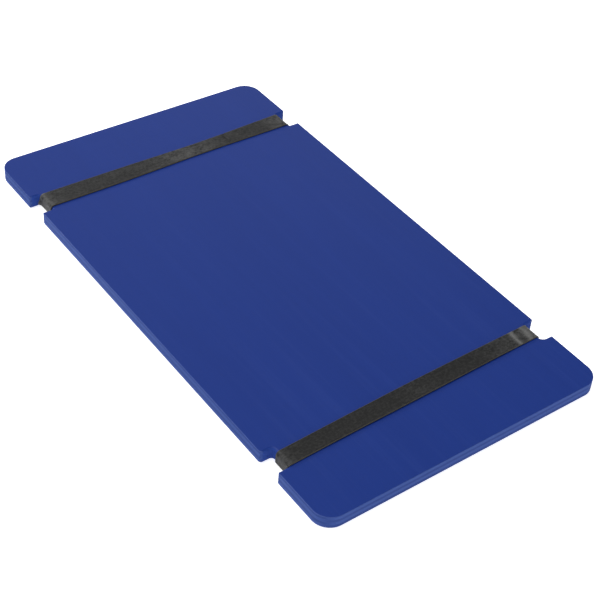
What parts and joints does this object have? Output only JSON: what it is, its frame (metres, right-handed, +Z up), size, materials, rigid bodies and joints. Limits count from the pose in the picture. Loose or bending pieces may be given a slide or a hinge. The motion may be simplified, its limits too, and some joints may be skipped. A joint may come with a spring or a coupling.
{
  "type": "menu board",
  "caption": "Flat blue-stained plywood board with rounded corners and side notches, holding a sheet under black rubber bands stretched round its width.",
  "frame": {"origin": "centre of the footprint, on the surface that the board's back bands rest on", "axes": "+X across the width, +Y along the length towards the end with the longer tab, +Z up out of the face"},
  "size_m": [0.1396, 0.254, 0.0072],
  "materials": {
    "face_wood": "blue stain, satin",
    "cross_wood": "blue stain, satin, sanded edge",
    "rubber": "matt black, slightly dusty"
  },
  "bodies": {
    "board": {"back_veneer": "face_wood", "back_crossband": "cross_wood", "core_ply": "face_wood", "front_crossband": "cross_wood", "face_veneer": "face_wood", "far_band_back_loop": "rubber", "near_band_back_loop": "rubber"},
    "far_run": {"far_band_front_run": "rubber"},
    "near_run": {"near_band_front_run": "rubber"}
  },
  "joints": [
    {"name": "far_band_lift", "type": "slide", "parent": "board", "child": "far_run", "axis": [0, 0, 1], "range_m": [0, 0.012], "stiffness_N_per_m": 150},
    {"name": "near_band_lift", "type": "slide", "parent": "board", "child": "near_run", "axis": [0, 0, 1], "range_m": [0, 0.012], "stiffness_N_per_m": 150}
  ]
}
